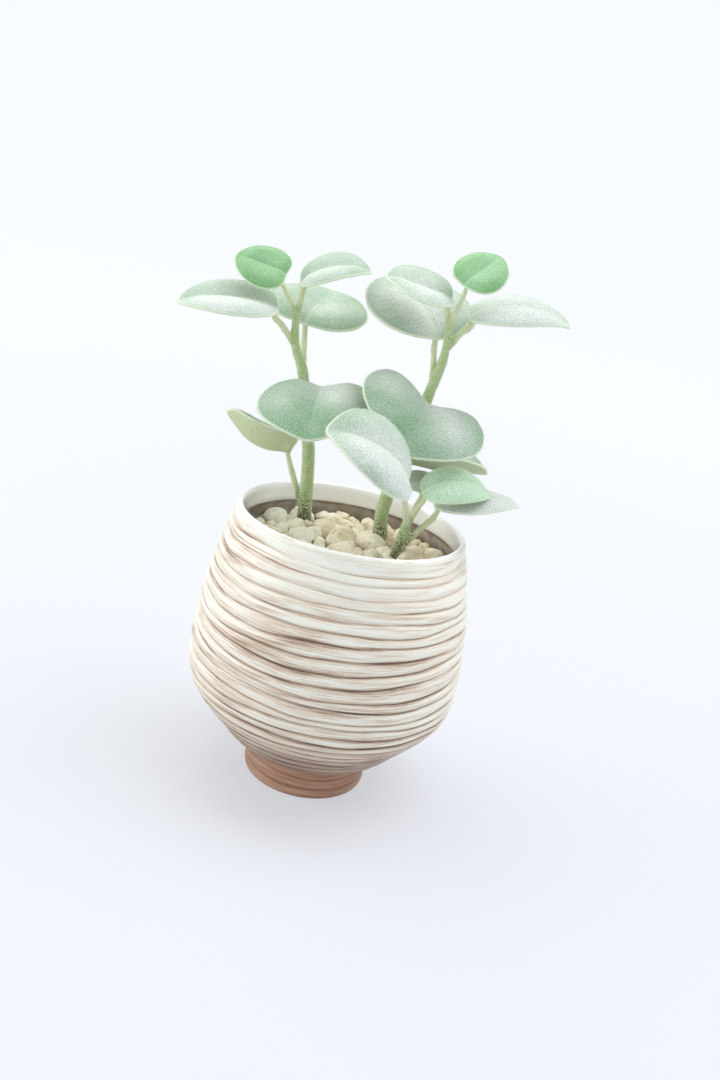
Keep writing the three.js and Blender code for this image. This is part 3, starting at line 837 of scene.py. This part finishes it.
# streaks 0.4 mm wide and 0.8 mm long, and flecks of cork 0.7 mm wide
drawn_out = add(flesh, "Mapping", {"Vector": place, "Scale": (2500, 2500, 1200)})
streaks = add(flesh, "TexNoise", {"Vector": drawn_out, "Scale": 1.0, "Detail": 4.0})
fleck_size = {"Scale": 1500.0, "Detail": 5.0, "Roughness": 0.65}
flecks = add(flesh, "TexNoise", {"Vector": place, **fleck_size})
# corky from the gravel at 107 mm up, and less and less up to about 130 mm
low_down = add(flesh, "MapRange", (height, 0.136, 0.106, -0.08, 0.3))
corky = add(flesh, "Math", (flecks, low_down))
corky = add(flesh, "MapRange", (corky, 0.62, 0.72))
streaked = add(flesh, "MapRange", (streaks, 0.42, 0.62, 0.05, 0.7))
skin = "#96B466"
for share, colour in ((on_stalk, "#CFD9A6"), (streaked, "#D3D9BF"), (corky, "#4E4432")):
    layer = {"Factor": share, "A": skin, "B": colour}
    skin = add(flesh, "Mix", layer, data_type="RGBA")
rough_skin = add(flesh, "Bump", {"Height": flecks, "Strength": 0.5, "Distance": 0.0006})
fill(shader, {"Base Color": skin, "Normal": rough_skin, "Roughness": 0.7})
fill(shader, {"Sheen Weight": 0.6, "Sheen Roughness": 0.5})
print("stem finish: flesh, streaks and cork")

# %% The stems' knobbly skin
KNOBS = 0.25

for name, mesh in stem_meshes.items():
    stalk_share = mesh.attributes.new("stalk", "FLOAT", "POINT")
    outwards = [normal.vector.copy() for normal in mesh.vertex_normals]
    for point, out in zip(mesh.vertices, outwards):
        spot = point.co / MM
        axis = stem_point(STEMS[name], spot.z)
        away = (spot - axis.xyz).length - axis[3]
        stalk_share.data[point.index].value = smooth_step(0.3, 3.0, away)
        knobbly = KNOBS * noise.noise(Vector((spot.x * 0.5, spot.y * 0.5, spot.z * 0.22)))
        point.co = point.co + out * knobbly * MM
    mesh.materials.append(flesh)
    mesh.shade_smooth()
    hand_over(in_scene(name + "_with_stalks", mesh), "stem", name)
print("stems finished")

# %% [markdown]
# ## Leaves
#
# Each leaf is thick and soft, and covered with short white felt. A UV sphere has the right
# topology for a closed pad: its poles lie in the middle of the two faces, and its equator is the
# margin. Its points are moved to the blade's form, with a rounded edge. Point attributes say where
# a point lies on the blade, for the midrib, the pale rim and the underside's colour.

# %% The felt on each leaf
# How thick the felt is all over, which also stands in for how brightly each leaf is lit, how
# strongly the midrib shows through it, and the whitest patches, thicker felt and painted highlight
# on the swell of the lobes: along, across and radius in mm, and strength.
FELT = {
    "leaf_left_top": (0.15, 0.2, []),
    "leaf_left_inner": (0.2, 0.5, [(-8, -8, 7, 0.5), (3, -9, 8, 0.5)]),
    "leaf_left_outer": (0.5, 0.4, [(11, 7, 8, 0.5), (-2, 8, 9, 0.6), (-13, 6, 7, 0.5)]),
    "leaf_left_back": (0.25, 0.2, [(-6, -8, 9, 0.3)]),
    "leaf_left_front": (0.0, 0.08, [(-11, 5, 10, 0.9), (-2, 10, 9, 0.6), (0, -14, 7, 0.25)]),
    "leaf_left_low": (0.4, 0.2, []),
    "leaf_middle_front": (0.15, 0.08, [(-6, -17, 9, 0.8), (-10, 3, 9, 1.0), (2, 15, 10, 0.9)]),
    "leaf_middle_low": (0.6, 0.2, []),
    "leaf_middle_back": (0.6, 0.2, [(2, 4, 9, 1.0), (-12, 4, 9, 1.1), (8, -8, 8, 0.8)]),
    "leaf_middle_inner": (0.55, 0.5, [(0, 6, 9, 0.6)]),
    "leaf_middle_round": (0.2, 0.2, [(0, 0, 6, 0.3)]),
    "leaf_middle_outer": (0.9, 0.2, [(-9, -8, 8, 0.6), (3, -8, 8, 0.6), (13, -5, 7, 0.5)]),
    "leaf_right_front": (0.7, 0.75, [(5, 5, 9, 0.9), (-6, 7, 10, 1.1), (-15, 4, 8, 1.0)]),
    "leaf_right_small": (1.4, 0.85, [(-5, -6, 7, 1.2), (5, -5, 7, 1.0)]),
    "leaf_right_outer": (1.8, 0.2, []),
    "leaf_right_back": (1.5, 0.2, []),
}
# greener spots on some leaves: along, across and radius in mm
GREENER_SPOTS = {
    "leaf_left_back": (13, -12, 6.5),
    "leaf_middle_inner": (12, 4, 2.6),
    "leaf_middle_round": (6, 5, 1.6),
    "leaf_left_front": (11, 4, 7),
}
# the way the painted highlight on the felt faces: up towards the main lamp, behind on the left
SUNNY_SIDE = Vector((-0.3, 0.25, 0.9)).normalized()


def whiteness_and_painted_light_at(name, spot, facing, reach):
    """How white a point is: felt, with painted highlight on the side turned to the main lamp,
    and painted shade towards the margin.
    """
    thickness, _, patches = FELT[name]
    # painted highlight where the leaf faces the main lamp; below it, painted shade towards the margin
    sunny = smooth_step(0.25, 1.0, facing.dot(SUNNY_SIDE))
    felt_and_painted_light = (0.4 * sunny + thickness) * (1 - 0.5 * reach**3)
    for x, y, radius, strength in patches:
        away = math.hypot(spot.x - x, spot.y - y) / radius
        felt_and_painted_light += strength * math.exp(-(away**2))
    return felt_and_painted_light


print("leaves with a rubbed spot:", len(GREENER_SPOTS))

# %% The leaf's mesh
BLADE_THICKNESS = 1.4
AROUND, FACE_RINGS = 128, 64
FACE, EDGE = 0.86, 0.14  # shares of the sphere's arc: a face of the leaf, and its rounded edge
MIDRIB = {"sunk": 0.28, "raised": 0.5, "half_width": 1.1}
RIPPLE = 0.3
ROLLED_MARGIN = 0.9  # how far the margin curls down
PUFF = 0.8  # how far each half swells between midrib and margin
LEAF_MARKS = ("along", "across", "reach", "under", "greener_spot", "felt_and_painted_light", "rib")


def leaf_skin_point(leaf, direction, number):
    """Where a point of the unit sphere goes on the leaf: its place, and what it belongs to."""
    angle = math.atan2(direction.y, direction.x)
    share = math.acos(max(-1, min(1, abs(direction.z)))) / (math.pi / 2)
    under = direction.z < 0
    half = BLADE_THICKNESS / 2
    edge, _ = blade_point(leaf, 1, angle)
    rounded = half * 1.3 / edge.xy.length
    if share < FACE:
        reach, thick = share / FACE * (1 - rounded), half
    else:
        bend = (share - FACE) / EDGE * math.pi / 2
        reach = 1 - rounded * (1 - math.sin(bend))
        thick = half * math.cos(bend)
    middle, facing = blade_point(leaf, reach, angle)
    along = middle.x / (leaf["size"][0] / 2)
    beside = middle.y / MIDRIB["half_width"]
    rib = math.exp(-(beside**2)) * smooth_step(1.0, 0.3, reach if along > 0 else 0)
    ripple = noise.noise(Vector((middle.x * 0.09, middle.y * 0.09, number * 3.1)))
    ripple += 0.4 * noise.noise(Vector((middle.x * 0.25, middle.y * 0.25, number * 5.7)))
    rolled = ROLLED_MARGIN * smooth_step(0.6, 1, reach)
    place = middle + facing * (RIPPLE * ripple * reach - rolled)
    puff = PUFF * (1 - reach**2) * (1 - math.exp(-((middle.y / 5) ** 2)))
    if under:
        place -= facing * (thick + MIDRIB["raised"] * rib * min(1, thick / half))
    else:
        place += facing * (thick + puff - MIDRIB["sunk"] * rib * min(1, thick / half))
    return place, reach, under, middle, facing


def leaf_mesh(name, leaf, number):
    made = bmesh.new()
    bmesh.ops.create_uvsphere(made, u_segments=AROUND, v_segments=FACE_RINGS, radius=1)
    layers = [made.verts.layers.float.new(key) for key in LEAF_MARKS]
    to_plant = leaf_matrix(leaf)
    for point in made.verts:
        direction = point.co.normalized()
        place, reach, under, middle, facing = leaf_skin_point(leaf, direction, number)
        outwards = (to_plant.to_3x3() @ facing).normalized()
        felt_and_painted_light = whiteness_and_painted_light_at(name, middle, outwards, reach)
        greener_spot = 0
        if name in GREENER_SPOTS:
            x, y, radius = GREENER_SPOTS[name]
            away = math.hypot(place.x - x, place.y - y)
            greener_spot = smooth_step(radius, 0.3 * radius, away)
        marks = (place.x * MM, place.y * MM, reach, float(under), greener_spot, felt_and_painted_light, FELT[name][1])
        for layer, mark in zip(layers, marks):
            point[layer] = mark
        point.co = (to_plant @ place) * MM
    bmesh.ops.recalc_face_normals(made, faces=made.faces)
    return made


print("leaf points:", AROUND * FACE_RINGS)

# %% [markdown]
# The felt is drawn in layers: a grey-green skin, whitish where the felt is thick, with painted
# highlight on the faces turned to the main lamp and on the swell of the lobes, and painted shade
# towards the margin; fine stipple where tufts meet, a pale midrib 0.8 mm wide that fades out towards
# the tip, greener spots, the underside, and a rim of pale yellow-green. The stipple is 0.4 to 0.55
# mm, coarser than real felt, so that it shows. Sheen gives felt its soft white edge.

# %% The leaves' finish
FELT_LOOKS = {
    "white_felted_leaf": {
        "deep": "#79A07B", "whitened_and_highlighted": "#D5D9D6", "tuft_dark": "#628A65", "tuft_light": "#DDE2DD",
        "underside": "#B0BD88", "rim": "#E2E9D2", "rib": "#DDE6D6", "sheen": 0.5,
    },
    "thinly_felted_young_leaf": {
        "deep": "#73A96E", "whitened_and_highlighted": "#C3DCC4", "tuft_dark": "#639A5F", "tuft_light": "#A8CDA3",
        "underside": "#A8C486", "rim": "#D8EAC4", "rib": "#CFE8C8", "sheen": 0.35,
    },
}
SPOT_GREEN = "#5E8C5C"
leaf_finishes = []
for name, look in FELT_LOOKS.items():
    felt, shader, place = new_finish(name)
    marks = {key: add(felt, "Attribute", out="Fac", attribute_name=key) for key in LEAF_MARKS}
    clouds = add(felt, "TexNoise", {"Vector": place, "Scale": 75.0, "Detail": 3.0})
    tuft_size = {"Scale": 2500.0, "Detail": 2.0, "Roughness": 0.6}
    tufts = add(felt, "TexNoise", {"Vector": place, **tuft_size})
    dots = add(felt, "TexVoronoi", {"Vector": place, "Scale": 1800.0})
    # the felt's whiteness, with the painted highlight and shade carried by the point attribute
    felt_and_painted_light = add(felt, "Math", (clouds, marks["felt_and_painted_light"]))
    beside = add(felt, "Math", (marks["across"],), operation="ABSOLUTE")
    whitened_and_highlighted = add(felt, "MapRange", (felt_and_painted_light, 0.55, 1.8))
    light = add(felt, "MapRange", (dots, 0.42, 0.1, 0.0, 0.75))
    dark = add(felt, "MapRange", (tufts, 0.53, 0.37, 0.0, 0.68))
    spot_share = add(felt, "MapRange", (marks["greener_spot"], 0.0, 1.0, 0.0, 0.35))
    rim = add(felt, "MapRange", (marks["reach"], 0.965, 0.99, 0.0, 0.85))
    pale_below = add(felt, "MapRange", (tufts, 0.35, 0.65, 0.0, 0.5))
    rib = add(felt, "MapRange", (beside, 0.00055, 0.0002))
    to_tip = add(felt, "MapRange", (marks["along"], 0.02, -0.004))
    for share in (to_tip, marks["rib"]):
        rib = add(felt, "Math", (rib, share), operation="MULTIPLY")
    below = {"Factor": pale_below, "A": look["underside"], "B": look["rim"]}
    below = add(felt, "Mix", below, data_type="RGBA")
    skin = look["deep"]
    for share, colour in (
        (whitened_and_highlighted, look["whitened_and_highlighted"]),
        (light, look["tuft_light"]),
        (dark, look["tuft_dark"]),
        (rib, look["rib"]),
        (spot_share, SPOT_GREEN),
        (marks["under"], below),
        (rim, look["rim"]),
    ):
        skin = add(felt, "Mix", {"Factor": share, "A": skin, "B": colour}, data_type="RGBA")
    tufted = add(felt, "Bump", {"Height": tufts, "Strength": 0.55, "Distance": 0.0005})
    fill(shader, {"Base Color": skin, "Normal": tufted, "Roughness": 0.85})
    fill(shader, {"Specular IOR Level": 0.25, "Sheen Weight": look["sheen"]})
    fill(shader, {"Sheen Roughness": 0.55, "Sheen Tint": "#F4FAF2"})
    leaf_finishes.append(felt)
print("leaf finishes:", len(leaf_finishes))

# %% The leaves
SLOTS = ("leaf", "young_leaf")  # the record's finishes, of a grown leaf and of a young one

for number, (name, leaf) in enumerate(LEAVES.items()):
    finish = leaf_finishes[leaf["young"]]
    piece = mesh_piece("felted_" + name, leaf_mesh(name, leaf, number), finish)
    hand_over(piece, SLOTS[leaf["young"]], name)
print("leaves finished:", len(LEAVES))

# %% [markdown]
# ## The felt's hairs
#
# Against the light the felt shows as a pale fringe along every margin and stem. Each hair is a
# short thin tube on a curve object, which costs eight triangles: 0.3 to 0.85 mm long, and 0.09 mm
# thick, as thick as a tuft of real hairs, so that it shows. They stand thickest on the margins.

# %% How hairs are made
HAIR_RADIUS = (0.045, 0.01125)  # at the root, and at the tip


def wild(draw, amount):
    return Vector([amount * (next(draw) - 0.5) for _ in range(3)])


def hair_coat(name, hairs, finish, finish_slot):
    """Thin tapering tubes, each from its root along a direction, in millimetres."""
    courses = []
    for root, towards in hairs:
        start, end = root - 0.1 * towards, root + towards
        courses.append([Vector((*start, HAIR_RADIUS[0])), Vector((*end, HAIR_RADIUS[1]))])
    curve = tubes(name, courses, roundness=0, capped=False)
    curve.materials.append(finish)
    hand_over(in_scene(name, curve), finish_slot)
    return len(hairs)


hair, shader, place = new_finish("white_plant_hair")
mottle = add(hair, "TexNoise", {"Vector": place, "Scale": 300.0, "Detail": 2.0})
hair_colours = add(hair, "ValToRGB", {"Fac": mottle}, stops=[(0, "#C9D3B8"), (1, "#F1F4E6")])
fill(shader, {"Base Color": hair_colours, "Roughness": 0.6})
print("a hair is", 2 * HAIR_RADIUS[0], "mm thick")

# %% Hairs on the leaves and stems
HAIR_LENGTH = (0.4, 0.85)
RIM_HAIRS_PER_MM = 6.0
FACE_HAIRS_PER_MM2 = 1.1
FUZZ = {"share_of_faces": 0.16, "above": 0.108, "length": (0.35, 0.7)}  # above: in metres


def leaf_hairs(leaf, number, draw):
    """The fringe on the margin, then the hairs on the upper face and half as many below."""
    to_plant = leaf_matrix(leaf)
    turn = to_plant.to_3x3()
    length, width = leaf["size"]
    hairs = []
    margin = math.pi * (length + width) / 2
    for _ in range(int(margin * RIM_HAIRS_PER_MM)):
        angle = math.tau * next(draw)
        rise = mix(-0.12, 0.12, next(draw))
        direction = Vector((math.cos(angle), math.sin(angle), rise)).normalized()
        root = leaf_skin_point(leaf, direction, number)[0]
        edge, facing = blade_point(leaf, 1, angle)
        outwards = (edge.normalized() + facing * rise * 4 + wild(draw, 1.1)).normalized()
        hairs.append((to_plant @ root, turn @ outwards * mix(*HAIR_LENGTH, next(draw))))
    area = math.pi / 4 * length * width
    for side, share in ((1, 1.0), (-1, 0.5)):
        for _ in range(int(area * share * FACE_HAIRS_PER_MM2)):
            angle = math.tau * next(draw)
            reach = math.sqrt(next(draw)) * 0.97
            polar = reach * FACE * math.pi / 2
            x, y = math.sin(polar) * math.cos(angle), math.sin(polar) * math.sin(angle)
            direction = Vector((x, y, side * math.cos(polar)))
            root = leaf_skin_point(leaf, direction, number)[0]
            facing = blade_point(leaf, reach, angle)[1] * side
            upright = (facing + Vector((0.5, 0, 0)) + wild(draw, 1.4)).normalized()
            hairs.append((to_plant @ root, turn @ upright * 0.7 * mix(*HAIR_LENGTH, next(draw))))
    return hairs


draw = random_from(2024)
total = 0
for number, (name, leaf) in enumerate(LEAVES.items()):
    hairs = leaf_hairs(leaf, number, draw)
    total += hair_coat("felt_on_" + name, hairs, hair, SLOTS[leaf["young"]])
for name, mesh in stem_meshes.items():
    hairs = []
    for polygon in mesh.polygons:
        if next(draw) < FUZZ["share_of_faces"] and polygon.center.z > FUZZ["above"]:
            upright = (polygon.normal + Vector((0, 0, 0.3)) + wild(draw, 1.0)).normalized()
            hairs.append((polygon.center / MM, upright * mix(*FUZZ["length"], next(draw))))
    total += hair_coat("fuzz_on_" + name, hairs, hair, "stem")
print("hairs:", total)
